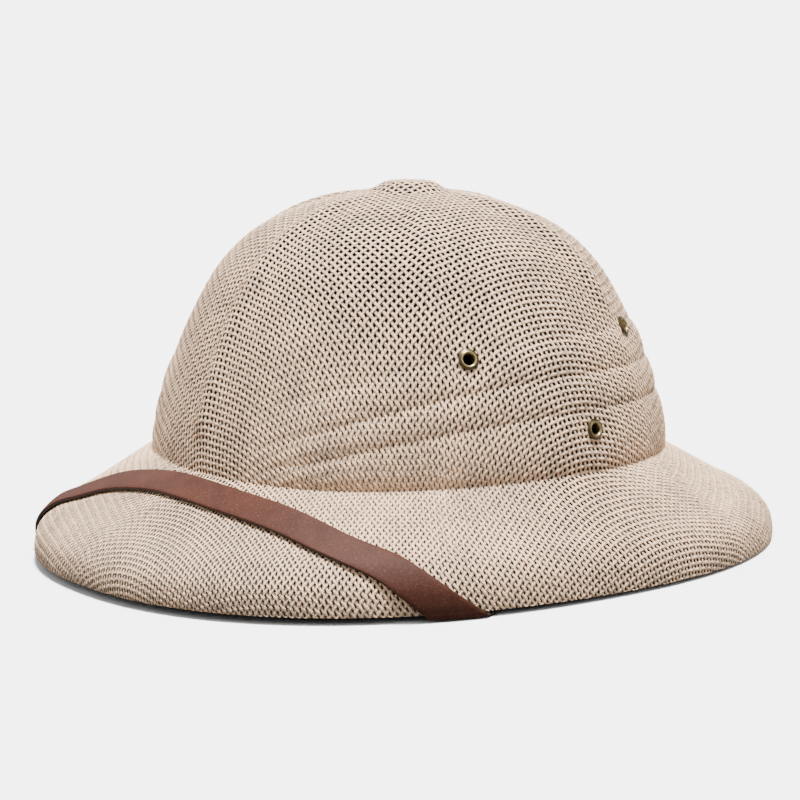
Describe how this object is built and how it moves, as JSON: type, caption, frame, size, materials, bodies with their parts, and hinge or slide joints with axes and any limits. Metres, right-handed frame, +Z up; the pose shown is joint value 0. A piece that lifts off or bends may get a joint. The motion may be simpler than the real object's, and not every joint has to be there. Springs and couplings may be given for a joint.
{
  "type": "pith helmet",
  "caption": "Sun helmet moulded from woven straw, with a domed crown in gores, a pleated band, a sloping brim, side eyelets and a leather chin strap laid over the brim.",
  "frame": {"origin": "centre of the surface that the hat rests on, under the middle of the brim", "axes": "+Z up, -Y towards the front of the hat, +X towards the wearer's left"},
  "size_m": [0.2842, 0.3514, 0.1674],
  "materials": {
    "straw": "woven paper straw, matt",
    "lining": "plain dark cloth",
    "leather": "smooth, lightly waxed, with painted edges",
    "brass": "antiqued"
  },
  "bodies": {
    "root": {"straw_shell": "straw", "lining": "lining", "chin_strap": "leather", "strap_stud_left": "brass", "strap_stud_right": "brass", "eyelet_left_front": "brass", "eyelet_left_low": "brass", "eyelet_left_back": "brass", "eyelet_right_front": "brass", "eyelet_right_low": "brass", "eyelet_right_back": "brass"}
  },
  "joints": []
}
